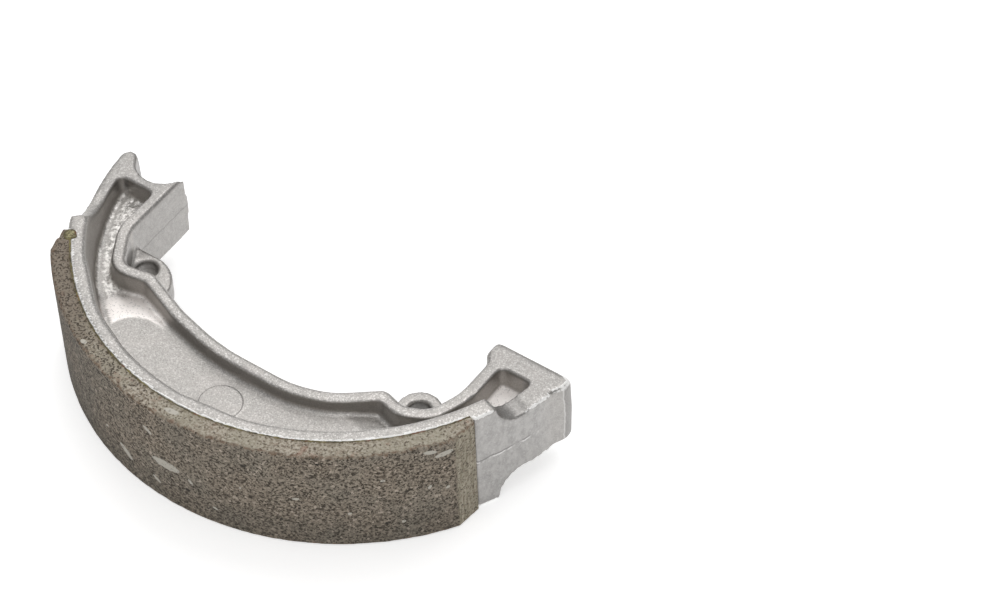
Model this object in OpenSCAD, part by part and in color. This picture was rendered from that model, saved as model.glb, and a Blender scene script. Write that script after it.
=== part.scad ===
// Drum brake shoe: a die-cast aluminium shoe with a bonded friction lining.
// The drum turns about Z through the origin, the belly of the shoe points to -Y,
// the cam end lies at +X and the anchor end at -X. The shoe lies on its side at z = 0.

/* [Drum and lining] */
// Diameter of the drum that the lining rubs on
drum_d = 110; // [100:1:130]
// Thickness of the friction lining
lining_t = 3.6; // [2.5:0.1:5]
// Thickness of the adhesive film under the lining
film_t = 0.15; // [0.1:0.05:0.3]
// Angle that the lining leaves free at the anchor end, from the level of the drum's axis
lining_anchor_gap = 34.5; // [25:0.5:42]
// Angle that the lining leaves free at the cam end, from the level of the drum's axis
lining_cam_gap = 28.4; // [20:0.1:38]
// Length of the bevel at each end of the lining
bevel_len = 4.7; // [2:0.1:8]
// Thickness that the bevel takes off at the lining's very end
bevel_drop = 2.1; // [0.5:0.1:2.3]

/* [Shoe body] */
// Width of the rim and the lining, along the drum's axis
shoe_w = 24.6; // [20:0.2:30]
// Width of the rib and of both ends
end_w = 15; // [12:0.5:18]
// Thickness of the rim
rim_t = 2.8; // [2:0.1:4]
// Thickness of the inner rib
rib_t = 2.9; // [2:0.1:4]
// Radial depth of the shoe at its belly, from the lining seat to the inner face
belly = 19.1; // [16:0.1:22]
// Web thickness in the middle of the shoe
web_t = 9.4; // [7:0.2:11]
// Web thickness in the two ends of the pocket
web_end_t = 6.2; // [4:0.2:6.8]
// Length of the ramp between the two web thicknesses
ramp_len = 8.5; // [5:0.5:12]
// Draft of the cast walls, in degrees
draft = 4; // [1:0.5:6]
// Draft of the side faces, away from the parting line, in degrees
side_draft = 1.5; // [0.5:0.5:2]
// Size of the broken edges on the casting
edge = 0.6; // [0.3:0.1:0.8]
// Radius at the foot of the pocket's walls
foot_r = 0.5; // [0.3:0.1:0.8]
// Angle from the anchor end round to the web's raised middle
platform_anchor_gap = 63; // [58:1:70]
// Angle from the cam end round to the web's raised middle
platform_cam_gap = 59; // [55:1:65]
// Radius of the rounded ends of the raised middle
platform_r = 6.1; // [5:0.1:8]
// Distance from the pocket's outer wall in to the centres of those rounded ends
platform_in = 3.8; // [3:0.1:6]

/* [Ends of the rim] */
// Height of the locating lip beyond the lining at the cam end
cam_lip = 1.05; // [0.5:0.05:1.6]
// Height of the locating lip beyond the lining at the anchor end
anchor_lip = 0.85; // [0.5:0.05:1.6]
// Length of the locating lip at the anchor end
anchor_lip_len = 4; // [2:0.5:6]
// How far the anchor end stands in from the lining seat
anchor_step = 0.45; // [0.1:0.05:0.8]
// Length of full-width rim beyond the lining at the cam end
cam_rim_len = 5; // [3:0.1:7]
// Radius of the scoop where the rim narrows at the cam end
cam_scoop_r = 5; // [4.5:0.5:7]
// Depth of that scoop below the side face of the cam end
cam_scoop_dip = 0.4; // [0:0.1:1]
// Radius of the scoop where the rim narrows at the anchor end
anchor_scoop_r = 14; // [8:1:16]

/* [Anchor end] */
// Radius of the anchor pin notch
notch_r = 5.2; // [4:0.1:6]
// Distance from the lining seat in to the notch's axis
notch_in = 9.25; // [8:0.25:11]
// Height of the notch's axis below the drum's axis
notch_drop = 2.6; // [1:0.1:4]
// Height of the horn tips below the drum's axis
horn_drop = 3.7; // [2:0.1:5]
// Radius of the outer horn's tip
horn_tip_r = 1.4; // [0.5:0.1:2]
// Wall between the notch and the pocket
notch_wall = 2.1; // [1.5:0.1:4]
// Distance from the notch's axis to the inner side face
horn_in = 5.75; // [5.3:0.05:6.5]

/* [Cam end] */
// Height of the cam pad's face below the drum's axis
pad_drop = 3.6; // [2:0.1:5]
// Length of the cam pad, along the shoe
pad_len = 17; // [14:0.1:19]
// Thickness of the pad above the pocket
pad_t = 5.1; // [4:0.1:8]
// Height of the pad's overhanging nose
nose_h = 4.4; // [3:0.1:6]
// Overhang of the nose beyond the rib
nose_out = 1.5; // [0.8:0.1:3]
// How far the pad's outer corner stands proud of the rim
pad_ear = 0.7; // [0.4:0.1:1.5]

/* [Spring lugs] */
// Distance from the lining seat in to the spring holes
hole_in = 12.9; // [11:0.1:14]
// Angle from the cam end round to its spring hole
cam_hole_gap = 34.7; // [32:0.1:38]
// Angle from the anchor end round to its spring hole
anchor_hole_gap = 36.2; // [33:0.1:39]
// Thickness of the spring lugs
lug_t = 5; // [3:0.2:7]
// Diameter of the spring holes
hole_d = 4.2; // [3:0.1:5]
// Chamfer of the spring holes
hole_chamfer = 0.4; // [0.2:0.1:0.6]
// Outer radius of the cam-end lug
cam_lug_r = 4.4; // [3.6:0.1:5.5]
// Outer radius of the anchor-end lug
anchor_lug_r = 7.2; // [6:0.1:8]
// Distance from the anchor-end hole to the lug's inner edge
anchor_lug_rise = 3.6; // [3:0.1:5]

/* [Casting marks] */
// Radius of the ejector pin's mark on the web
mark_r = 4.3; // [3:0.1:5]
// Height of the ejector pin's mark
mark_h = 0.2; // [0.1:0.05:0.4]
// Distance from the pocket's outer wall in to the mark's centre
mark_in = 5.8; // [4.5:0.1:8]
// Angle from the middle of the belly to the mark, towards the cam end
mark_turn = 2.8; // [-10:0.2:15]
// Radius of the adhesive drop at the lining's end
drop_r = 1.3; // [0.8:0.1:2]
// Height of the adhesive drop
drop_h = 0.35; // [0.2:0.05:0.6]

/* [Hidden] */
$fn = 96;
eps = 0.05;
// Farther out than any point of the shoe
far = drum_d;

// Radii about the drum's axis
drum_r = drum_d / 2;
film_r = drum_r - lining_t;
seat_r = film_r - film_t;
pocket_r = seat_r - rim_t;
rib_r = seat_r - belly;
cam_r = seat_r + cam_lip;
anchor_r = seat_r - anchor_step;
// The inner body ends here, out of sight inside the rim
core_r = seat_r - rim_t / 2;

// Angles about the drum's axis, counted from the cam end at +X by way of the anchor end at -X
function from_anchor(a) = 180 + a;
function from_cam(a) = 2 * from_anchor(0) - a;
lining_start = from_anchor(lining_anchor_gap);
lining_end = from_cam(lining_cam_gap);
platform_start = from_anchor(platform_anchor_gap);
platform_end = from_cam(platform_cam_gap);
belly_a = (from_anchor(0) + from_cam(0)) / 2;

// Heights
mid_z = shoe_w / 2;
end_top = mid_z + end_w / 2;
end_foot = mid_z - end_w / 2;
floor_z = mid_z + web_end_t / 2;
platform_z = mid_z + web_t / 2;

// Anchor end
notch_x = notch_in - seat_r;
horn_x = notch_x + horn_in;

// Cam end
pad_x = cam_r + pad_ear;
nose_x = pad_x - pad_len;
rib_cam_x = nose_x + nose_out;

// Spring holes
cam_hole = polar(seat_r - hole_in, from_cam(cam_hole_gap));
anchor_hole = polar(seat_r - hole_in, from_anchor(anchor_hole_gap));

// A point at a distance and an angle from the drum's axis
function polar(r, a) = r * [cos(a), sin(a)];

// The direction of a point from the drum's axis, counted from 90 up to 450 degrees
function bearing(p) = let (a = atan2(p.y, p.x)) a < 90 ? a + 360 : a;

// The length of arc d at radius r as an angle
function arc_a(d, r) = d / r * 180 / PI;

// The corner b of the bend a-b-c as n points of an arc that touches both of its sides
function bend(a, b, c, r, n) =
    let (u = (a - b) / norm(a - b))
    let (v = (c - b) / norm(c - b))
    let (half = acos(u * v) / 2)
    let (t = min(r / tan(half), norm(a - b) * 0.45, norm(c - b) * 0.45))
    let (m = b + (u + v) / norm(u + v) * t / cos(half))
    let (p = b + u * t - m)
    let (q = b + v * t - m)
    let (turn = atan2(p.x * q.y - p.y * q.x, p * q))
    [for (i = [0:n - 1]) let (a = atan2(p.y, p.x) + turn * i / (n - 1)) m + norm(p) * [cos(a), sin(a)]];

// Every inner corner of a run of [x, y, radius] corners, as arcs of n points each
function bends(v, n) = [
    for (i = [1:len(v) - 2])
        each bend([v[i - 1].x, v[i - 1].y], [v[i].x, v[i].y], [v[i + 1].x, v[i + 1].y], v[i].z, n)
];

// Corner i of such a run, moved to the right of its way by d, with a radius that suits the offset
function moved_corner(v, i, d) =
    let (p = [v[i].x, v[i].y])
    let (e = p - [v[i - 1].x, v[i - 1].y])
    let (f = [v[i + 1].x, v[i + 1].y] - p)
    let (k = [e.y, -e.x] / norm(e) + [f.y, -f.x] / norm(f))
    let (q = p + d * k / (k * k / 2))
    [q.x, q.y, e.x * f.y - e.y * f.x > 0 ? v[i].z + d : max(v[i].z - d, corner_r)];

// A closed loop of points moved to its left by d, with mitred corners
function inset(p, d) =
    let (n = len(p))
    [for (i = [0:n - 1])
        let (e = p[i] - p[(i + n - 1) % n])
        let (f = p[(i + 1) % n] - p[i])
        let (k = [-e.y, e.x] / norm(e) + [-f.y, f.x] / norm(f))
        p[i] + d * k / max(k * k / 2, 0.5)];

// A solid through a stack of [loop, z]. Each loop runs out along one chain of points and back
// along another of the same number, and strips between the two chains close both ends.
module loft(stack) {
    n = len(stack[0][0]);
    top = (len(stack) - 1) * n;
    points = [for (s = stack) for (q = s[0]) [q.x, q.y, s[1]]];
    walls = [for (k = [0:len(stack) - 2]) for (i = [0:n - 1])
        let (a = k * n + i, b = k * n + (i + 1) % n)
        each [[b + n, b, a], [a + n, b + n, a]]];
    caps = [for (i = [0:n / 2 - 2])
        let (a = i, b = i + 1, c = n - 2 - i, d = n - 1 - i)
        each [[b, c, a], [c, d, a], [top + c, top + b, top + a], [top + d, top + c, top + a]]];
    polyhedron(points = points, faces = concat(walls, caps));
}

// Everything between two heights
module slab(z0, z1) {
    translate([-far, -far, z0])
        cube([2 * far, 2 * far, z1 - z0]);
}

// The children, and their mirror image below the parting plane
module both_sides() {
    children();
    translate([0, 0, shoe_w])
        mirror([0, 0, 1])
            children();
}

// The point of a circle about the drum's axis at a height below it, at the side s = 1 or -1
function on_circle(r, down, s) = [s * sqrt(r * r - down * down), -down];

// Part of a ring about the drum's axis
module ring(r0, r1, z0, z1, a0, a1) {
    rotate([0, 0, a0])
        rotate_extrude(angle = a1 - a0)
            translate([r0, z0])
                square([r1 - r0, z1 - z0]);
}

// Higher than the horns' ends at the parting plane
horn_top_y = -horn_drop + end_w / 2 * tan(draft) + eps;

// Corners of the rib's inner face as [x, y, radius], from the anchor horn round to the cam pad
rib_corners = [
    // Down the horn's inner side, which leans a little
    [horn_x, horn_top_y, 0],
    [horn_x + 0.25, anchor_hole.y + 3, 7],
    // Round below the lug of the anchor end
    [anchor_hole.x - 1, anchor_hole.y - 3.9, 2.2],
    [anchor_hole.x + 5.2, anchor_hole.y - 2.8, 3],
    // Along the belly, which is nearly an arc about the drum's axis
    [each polar(rib_r + 1.3, belly_a - 28), 20],
    [each polar(rib_r + 0.5, belly_a - 8.4), 45],
    [each polar(rib_r + 2.2, belly_a + 19.5), 35],
    [each polar(rib_r + 3.3, belly_a + 31.6), 16],
    // Round below the lug of the cam end
    [cam_hole.x - 5.2, cam_hole.y - 2.2, 2.4],
    [cam_hole.x - 0.3, cam_hole.y - 3.6, 3.5],
    [cam_hole.x + 3.8, cam_hole.y - 1.6, 4],
    // Up to the pad and round its nose
    [rib_cam_x, cam_hole.y + 4.5, 12],
    [rib_cam_x, -pad_drop - nose_h - 1.3, 2],
    [nose_x, -pad_drop - nose_h + 0.7, 1.5],
    [nose_x, -pad_drop + eps, 1.9],
    [nose_x + 3, -pad_drop + eps, 0]
];
// The corners from the horn's foot to the rib's foot below the pad also bound the pockets
last_wall_corner = len(rib_corners) - 5;
corner_n = 6;
rib_line = concat([[horn_x, horn_top_y]], bends(rib_corners, corner_n));

// The cam pad's outer side, from inside the rim up to the pad's face
ear_foot_gap = 13;
ear_corners = [
    [each polar(core_r, from_cam(ear_foot_gap)), 0],
    [each polar(cam_r - 0.3, from_cam(ear_foot_gap - 1.5)), 1.3],
    [pad_x, -pad_drop - 2.6, 1.5],
    [pad_x - 0.1, -pad_drop + eps, 1.3],
    [pad_x - 3, -pad_drop + eps, 0]
];
ear_line = concat([polar(core_r, from_cam(ear_foot_gap))], bends(ear_corners, 5));

// Outline of the inner body. Each outer point lies close to the ray of its inner one, and the
// last ones keep a small distance from each other up to the ear's foot.
core_n = len(rib_line) - len(ear_line);
core_lag = 0.5;
core_gap = 0.2;
core_line = [for (i = [0:core_n - 1])
    polar(core_r, min(bearing(rib_line[i]), from_cam(ear_foot_gap) - (core_n - 1 - i) * core_gap) - core_lag)];
core_loop = concat(core_line, ear_line, [for (i = [len(rib_line) - 1:-1:0]) rib_line[i]]);

// Outline of a pocket at the rim's side face, in the same order
wall_draft = (shoe_w - end_top) * tan(draft);
floor_draft = (shoe_w - floor_z) * tan(draft);
corner_r = floor_draft + foot_r + 8 * eps;
pocket_anchor_y = -notch_drop - notch_r - notch_wall + wall_draft;
pocket_cam_y = -pad_drop - pad_t + wall_draft;
wall_corners = [for (i = [1:last_wall_corner]) moved_corner(rib_corners, i, rib_t - wall_draft)];
wall_first = [wall_corners[0].x, wall_corners[0].y];
wall_last = [wall_corners[last_wall_corner - 1].x, wall_corners[last_wall_corner - 1].y];
wall_mid = bends(concat(
    [[wall_first.x, pocket_anchor_y, 0]],
    wall_corners,
    [[wall_last.x, pocket_cam_y, 0]]
), corner_n);
anchor_mid = [(wall_first.x - pocket_r) / 2, pocket_anchor_y];
cam_mid = [(wall_last.x + pocket_r) / 2, pocket_cam_y];
// Angles of the outer wall's two corners, and of the arc between their straight legs
anchor_corner_a = bearing(on_circle(pocket_r, -pocket_anchor_y, -1));
cam_corner_a = bearing(on_circle(pocket_r, -pocket_cam_y, 1));
leg_a = 5;
arc_start = anchor_corner_a + leg_a;
arc_end = cam_corner_a - leg_a;
wall_start = bearing(wall_mid[0]);
wall_end = bearing(wall_mid[len(wall_mid) - 1]);
arc_share = (arc_end - arc_start) / (wall_end - wall_start);
pocket_outer = concat(
    bend(anchor_mid, polar(pocket_r, anchor_corner_a), polar(pocket_r, arc_start), corner_r, 5),
    [for (p = wall_mid) polar(pocket_r, arc_start + (bearing(p) - wall_start) * arc_share)],
    bend(polar(pocket_r, arc_end), polar(pocket_r, cam_corner_a), cam_mid, corner_r, 5)
);
pocket_inner = concat(
    bend(anchor_mid, [wall_first.x, pocket_anchor_y], wall_first, corner_r, 5),
    wall_mid,
    bend(wall_last, [wall_last.x, pocket_cam_y], cam_mid, corner_r, 5)
);
pocket_loop = concat(pocket_outer, [for (i = [len(pocket_inner) - 1:-1:0]) pocket_inner[i]]);

// The raised middle of the web, with a ramp down to each end of the pocket
module platform() {
    rise = platform_z - floor_z + 2 * eps;
    intersection() {
        hull()
            for (a = [platform_start, (platform_start + platform_end) / 2, platform_end])
                translate([each polar(pocket_r - platform_in, a), floor_z - eps])
                    cylinder(r1 = platform_r + ramp_len, r2 = platform_r, h = rise, $fn = 32);
        slab(floor_z - 1, platform_z);
    }
}

// Everything that one half of the die removes between the rim and the rib
module pocket() {
    difference() {
        intersection() {
            loft([
                [inset(pocket_loop, floor_draft + foot_r + eps), floor_z - eps],
                [inset(pocket_loop, floor_draft + foot_r * 0.3), floor_z + foot_r * 0.3],
                [inset(pocket_loop, floor_draft), floor_z + foot_r],
                [pocket_loop, shoe_w - edge],
                [inset(pocket_loop, -edge - 2 * eps), shoe_w + 2 * eps]
            ]);
            slab(floor_z, shoe_w + eps);
        }
        platform();
    }
}

// Cutter that narrows the rim to the width of an end, with a scoop across the rim. The scoop's
// axis lies at the angle a, and s is 1 or -1 for an end that lies ahead of it or behind it.
module end_relief(a, r, dip, s) {
    axis_z = end_top - dip + r;
    rotate([0, 0, a])
        translate([rim_inner_r - relief_in, 0, 0])
            rotate([90, 0, 90])
                linear_extrude(height = far) {
                    translate([0, axis_z])
                        circle(r);
                    translate([s > 0 ? 0 : -far, end_top])
                        square([far, far]);
                }
}

// Half the length along the rim that a scoop takes at the rim's side face
function scoop_run(r, dip) = let (up = end_top - dip + r - shoe_w) up > 0 ? sqrt(r * r - up * up) : r;

// The rim from the anchor end's set-back stretch over its lip, the lining's seat and the cam
// end's lip. It runs on past the horns' end line, and its other end lies inside the cam pad.
module rim() {
    ring(rim_inner_r, anchor_r, 0, shoe_w, bearing(on_circle(rim_inner_r, horn_drop / 2, -1)), anchor_rim_a);
    ring(rim_inner_r, seat_r + anchor_lip, 0, shoe_w, anchor_rim_a, lining_start);
    ring(rim_inner_r, seat_r, 0, shoe_w, lining_start, lining_end);
    ring(rim_inner_r, cam_r, 0, shoe_w, lining_end, from_cam(ear_foot_gap - 3));
}
rim_inner_r = pocket_r - wall_draft - 3 * eps;
// Far enough in to clear the rim's inner face along a whole relief
relief_in = 1.7;
anchor_rim_a = lining_start - arc_a(anchor_lip_len, seat_r);
anchor_scoop_a = anchor_rim_a - arc_a(scoop_run(anchor_scoop_r, 0), anchor_r);
cam_scoop_a = lining_end + arc_a(cam_rim_len + scoop_run(cam_scoop_r, cam_scoop_dip), cam_r);

module body() {
    taper = end_w / 2 * tan(side_draft);
    intersection() {
        loft([
            [inset(core_loop, taper + edge + eps), end_foot - eps],
            [inset(core_loop, taper), end_foot + edge],
            [core_loop, mid_z],
            [inset(core_loop, taper), end_top - edge],
            [inset(core_loop, taper + edge + eps), end_top + eps]
        ]);
        slab(end_foot, end_top);
    }
}

// Flat ears inside the rib that take the return springs
module lugs() {
    translate([0, 0, mid_z - lug_t / 2])
        linear_extrude(height = lug_t) {
            translate(cam_hole)
                circle(cam_lug_r);
            translate([anchor_hole.x, anchor_hole.y + anchor_lug_rise - anchor_lug_r])
                circle(anchor_lug_r);
            translate([horn_x - 1, anchor_hole.y - 3])
                square([anchor_hole.x - horn_x + 1, anchor_lug_rise + 3]);
        }
}

module spring_hole(at) {
    translate([each at, mid_z - lug_t / 2 - eps])
        cylinder(d = hole_d, h = lug_t + 2 * eps);
    both_sides()
        translate([each at, mid_z + lug_t / 2 - hole_chamfer])
            cylinder(r1 = hole_d / 2, r2 = hole_d / 2 + hole_chamfer + eps, h = hole_chamfer + eps);
}

// The anchor pin's notch, which opens from the parting plane towards both side faces
module anchor_notch() {
    both_sides()
        translate([notch_x, -notch_drop, mid_z - eps])
            cylinder(r1 = notch_r, r2 = notch_r + mid_z * tan(side_draft), h = mid_z + 2 * eps);
}

// What ends both horns and rounds the outer one's tip, with draft from the parting plane down to
// both side faces
module horn_end_cut() {
    tip_y = -horn_drop - horn_tip_r;
    both_sides()
        translate([0, -horn_drop, end_top])
            rotate([draft, 0, 0])
                translate([0, 0, -mid_z])
                    linear_extrude(height = 2 * mid_z) {
                        translate([-far, 0])
                            square(far);
                        translate([on_circle(anchor_r - horn_tip_r, -tip_y, -1).x, -horn_tip_r])
                            difference() {
                                translate([-2 * horn_tip_r, 0])
                                    square(2 * horn_tip_r);
                                circle(horn_tip_r);
                            }
                    }
}

module shoe_casting() {
    color("#b9babd") {
        difference() {
            union() {
                difference() {
                    union() {
                        rim();
                        body();
                    }
                    both_sides()
                        pocket();
                }
                lugs();
                translate([each polar(pocket_r - mark_in, belly_a + mark_turn), platform_z - 1])
                    cylinder(r = mark_r, h = 1 + mark_h);
            }
            both_sides() {
                end_relief(cam_scoop_a, cam_scoop_r, cam_scoop_dip, 1);
                end_relief(anchor_scoop_a, anchor_scoop_r, 0, -1);
            }
            anchor_notch();
            horn_end_cut();
            // The cam pad's face
            translate([0, -pad_drop, -eps])
                cube([far, far, shoe_w + 2 * eps]);
            spring_hole(cam_hole);
            spring_hole(anchor_hole);
        }
    }
}

// What bevels one end of the lining. The end lies at the angle a and the bevel runs on from it
// ahead for s = 1 and behind for s = -1.
module bevel_cut(a, s) {
    start = a + s * arc_a(bevel_len, drum_r);
    p = polar(drum_r, start);
    q = polar(drum_r - bevel_drop, a);
    out = q + (q - p);
    translate([0, 0, -eps])
        linear_extrude(height = shoe_w + 2 * eps)
            polygon([p + (p - q) * 0.2, out, polar(drum_r + 5, a - s * 8), polar(drum_r + 5, start)]);
}

module friction_lining() {
    color("#6b6459")
        difference() {
            ring(film_r, drum_r, 0, shoe_w, lining_start, lining_end);
            bevel_cut(lining_start, 1);
            bevel_cut(lining_end, -1);
        }
}

module lining_adhesive() {
    cap_r = (drop_r * drop_r + drop_h * drop_h) / (2 * drop_h);
    color("#3a352a") {
        ring(seat_r, film_r, 0, shoe_w, lining_start, lining_end);
        // A drop that was squeezed out onto the side face
        intersection() {
            translate([each polar(film_r, lining_start + arc_a(drop_r, film_r)), shoe_w + drop_h - cap_r])
                sphere(cap_r);
            slab(shoe_w, shoe_w + 1);
        }
    }
}

shoe_casting();
friction_lining();
lining_adhesive();
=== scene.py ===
"""Looks of a drum brake shoe: a die-cast aluminium shoe with a bonded friction lining.

Everything is in metres in the shoe's own frame. The drum's axis is +Z through the origin, the
belly of the shoe points to -Y, and the shoe lies on its side on a pale floor. Its cam end is at
+X and its anchor end at -X. Angles turn about the drum's axis, from +X.
"""

import bmesh
import bpy
import numpy as np
from mathutils import Matrix, Vector


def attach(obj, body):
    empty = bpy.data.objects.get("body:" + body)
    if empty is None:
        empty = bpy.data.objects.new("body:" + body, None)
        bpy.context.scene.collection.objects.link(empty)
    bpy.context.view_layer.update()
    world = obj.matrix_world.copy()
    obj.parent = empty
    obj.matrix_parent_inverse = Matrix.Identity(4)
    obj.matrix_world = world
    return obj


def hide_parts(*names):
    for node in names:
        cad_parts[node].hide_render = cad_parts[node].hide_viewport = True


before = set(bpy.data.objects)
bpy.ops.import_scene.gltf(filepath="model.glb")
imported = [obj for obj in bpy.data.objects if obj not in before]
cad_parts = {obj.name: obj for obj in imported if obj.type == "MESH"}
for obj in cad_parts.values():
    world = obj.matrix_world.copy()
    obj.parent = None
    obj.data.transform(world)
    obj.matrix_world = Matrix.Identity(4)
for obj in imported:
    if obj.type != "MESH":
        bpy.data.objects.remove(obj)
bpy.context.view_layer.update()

MM = 0.001

# The shoe's own sizes: radii of the drum, the adhesive film and the lining's seat, the width,
# where the lining starts and ends, and the bevels at its ends
DRUM_R = 55 * MM
FILM_R = 51.4 * MM
SEAT_R = 51.25 * MM
WIDTH = 24.6 * MM
LINING_START = np.radians(214.5)
LINING_END = np.radians(331.6)
BEVEL_LEN = 4.7 * MM
BEVEL_DROP = 2.1 * MM

# The web: its raised middle, the pocket floors beside it and the ejector pin's mark
WEB_TOP = 17 * MM
WEB_R = 46.8 * MM
POCKET_FLOOR = 15.4 * MM
POCKET_END_Y = -8.6 * MM
PLATFORM_START = (-20.27 * MM, -39.78 * MM)
PLATFORM_NEXT = (1.56 * MM, -44.62 * MM)
PLATFORM_R = 6.1 * MM
MARK_PLACE = (2.2 * MM, -42 * MM)
MARK_R = 4.05 * MM
MARK_RISE = 0.1 * MM
MARK_LEVEL_R = 6.2 * MM

# The two lugs' spring holes, the rib's hub side, the rim's sides and the scooped ends
HOLES = ((31.53 * MM, -21.83 * MM), (-30.95 * MM, -22.65 * MM))
HOLE_EDGE_R = 3.4 * MM
LUG_R = 4.4 * MM
HUB_SIDE_R = 41 * MM
RIM_INNER_R = 46.2 * MM
RIM_OUTER_R = 49.2 * MM
END_INNER_R = 43.5 * MM
HORN_END_Y = -6.2 * MM
LIP_R = 49.6 * MM
LIP_X = -43.2 * MM
CAM_SCOOP_START = np.radians(336.2)
CAM_SCOOP_END = np.radians(344.6)
CAM_SCOOP_X = 50.5 * MM

# Where the painted shade of the upright faces and the ends' tops, and the rubbed, highlit edges
# begin
HORN_R = 44 * MM
HORN_Y = -25 * MM
PAD_X = 50.8 * MM
ENDS_Y = -17 * MM
CAM_END_X = 40 * MM
CAM_EDGE_R = 48 * MM
CAM_EDGE_X = 51 * MM
RIM_EDGE_R = 50.3 * MM
EDGE_DEPTH = 7 * MM
CAM_CORNER_Y = -6.1 * MM
PARTING_Z = 11.7 * MM

# How the casting's copy is rebuilt: merging distance, size of the even faces, reach of the
# seat's edge, gap left at the seat's two ends and the least angle of an edge that stays sharp
SAME_PLACE = 0.002 * MM
EVEN_FACE = 0.42 * MM
SEAT_REACH = 0.9 * MM
SEAT_END_GAP = 0.012
SHARP_ANGLE = np.radians(50)

# Small helpers


def step(x):
    """A smooth step from 0 at x = 0 to 1 at x = 1."""
    x = np.clip(x, 0, 1)
    return x * x * (3 - 2 * x)


def uneven(u, v, seed):
    """Smooth random heights between -1 and 1 that change over one unit of u and of v.

    h = sum over the four whole-numbered places round (u, v) of w * g, where g is the place's
    random number and w the product of the smooth steps s(t) = t * t * (3 - 2 * t). The
    heights repeat after 97 units.
    """
    size = 97
    heights = np.random.default_rng(seed).uniform(-1, 1, (size, size))
    i, j = np.floor(u).astype(int), np.floor(v).astype(int)
    s, t = step(u - i), step(v - j)
    i, i_next, j, j_next = i % size, (i + 1) % size, j % size, (j + 1) % size
    near = heights[i, j] * (1 - s) + heights[i_next, j] * s
    far = heights[i, j_next] * (1 - s) + heights[i_next, j_next] * s
    return near * (1 - t) + far * t


def uneven_line(u, seed):
    """Smooth random heights between -1 and 1 along a line: one row of uneven heights."""
    return uneven(u, u * 0 + 0.5, seed)


def on_arc(radius, angle, height):
    """Points at a radius and an angle from the drum's axis, at a height."""
    place = np.broadcast_arrays(radius * np.cos(angle), radius * np.sin(angle), height)
    return np.stack(place, axis=-1)


def closed_grid(points, first_place=0):
    """Points and faces of a closed tube from a grid [ring, place on the ring, xyz].

    Ring i joins ring i + 1 all the way round. The first and the last ring are each closed by
    strips between the two halves of the ring.
    """
    rings, around = points.shape[:2]
    index = np.arange(rings * around).reshape(rings, around) + first_place
    a = index[:-1]
    b = np.roll(index, -1, axis=1)[:-1]
    c = np.roll(index, -1, axis=1)[1:]
    d = index[1:]
    faces = np.stack([a, b, c, d], axis=-1).reshape(-1, 4)
    half = np.arange(around // 2 - 1)
    strip = np.stack([half, around - 1 - half, around - 2 - half, half + 1], axis=-1)
    faces = np.concatenate([faces, index[0][strip], index[-1][strip[:, ::-1]]])
    return points.reshape(-1, 3), faces


def new_object(name, data):
    """A new object of the scene for a mesh, a lamp or a camera."""
    obj = bpy.data.objects.new(name, data)
    bpy.context.collection.objects.link(obj)
    return obj


def piece(name, points, faces, node):
    """A finished object from points and faces, which takes the place of a node of the frame."""
    mesh = bpy.data.meshes.new(name)
    mesh.from_pydata(points, [], faces.tolist())
    mesh.validate()
    work = bmesh.new()
    work.from_mesh(mesh)
    bmesh.ops.recalc_face_normals(work, faces=work.faces)
    work.to_mesh(mesh)
    work.free()
    mesh.shade_smooth()
    obj = new_object(name, mesh)
    finish_piece(obj, node)
    return obj


def finish_piece(obj, node):
    """Puts an object in the place of a node and prints its number of triangles."""
    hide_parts(node)
    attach(obj, "root")
    print(obj.name, "triangles", sum(len(p.vertices) - 2 for p in obj.data.polygons))


def mark_points(mesh, name, values):
    """Stores one number for each point of a mesh, for its material to read."""
    marks = mesh.attributes.new(name, "FLOAT", "POINT")
    marks.data.foreach_set("value", values.astype(np.float32).ravel())


def read_points(mesh, what):
    """The places ("co") or the normals ("normal") of a mesh's points."""
    values = np.empty(len(mesh.vertices) * 3, np.float32)
    mesh.vertices.foreach_get(what, values)
    return values.reshape(-1, 3)


def take_shape(obj):
    """Turns what an object's modifiers make of it into its own mesh."""
    shaped = obj.evaluated_get(bpy.context.evaluated_depsgraph_get())
    finished = bpy.data.meshes.new_from_object(shaped)
    obj.modifiers.clear()
    obj.data = finished


# The casting: the frame's own solid with the rounded edges and fillets of a die casting


def rounded_casting():
    """A copy of the solid, rebuilt in small even faces and then smoothed.

    Smoothing a mesh of even faces moves each point to the mean of its neighbours, which rounds
    an edge and fills a corner by about two faces' width and leaves flat and drawn faces alone.
    The lugs' holes keep crisper mouths. The horn's end and the lip before the lining are
    rounded further.
    """
    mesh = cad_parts["shoe_casting"].data.copy()
    work = bmesh.new()
    work.from_mesh(mesh)
    bmesh.ops.remove_doubles(work, verts=work.verts, dist=SAME_PLACE)
    work.to_mesh(mesh)
    work.free()
    obj = new_object("casting_body", mesh)
    remesh = obj.modifiers.new("even_faces", "REMESH")
    remesh.mode = "VOXEL"
    remesh.voxel_size = EVEN_FACE
    take_shape(obj)

    x, y, _ = read_points(obj.data, "co").T
    near_hole = np.zeros(len(x), bool)
    for hole in HOLES:
        near_hole |= np.hypot(x - hole[0], y - hole[1]) < HOLE_EDGE_R
    horn_end = (y > HORN_END_Y) & (x < 0)
    lip = (np.hypot(x, y) > LIP_R) & (x < LIP_X)
    groups = (("cast_edges", ~near_hole, 5), ("hole_edges", near_hole, 1),
              ("horn_ends", horn_end, 7), ("lip", lip, 22))
    for name, chosen, turns in groups:
        group = obj.vertex_groups.new(name=name)
        group.add(np.flatnonzero(chosen).tolist(), 1, "REPLACE")
        smooth = obj.modifiers.new(name, "SMOOTH")
        smooth.factor = 0.5
        smooth.iterations = turns
        smooth.vertex_group = name
    take_shape(obj)
    obj.vertex_groups.clear()
    obj.data.name = "casting_body"
    obj.data.materials.clear()
    obj.data.shade_smooth()
    return obj


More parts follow.
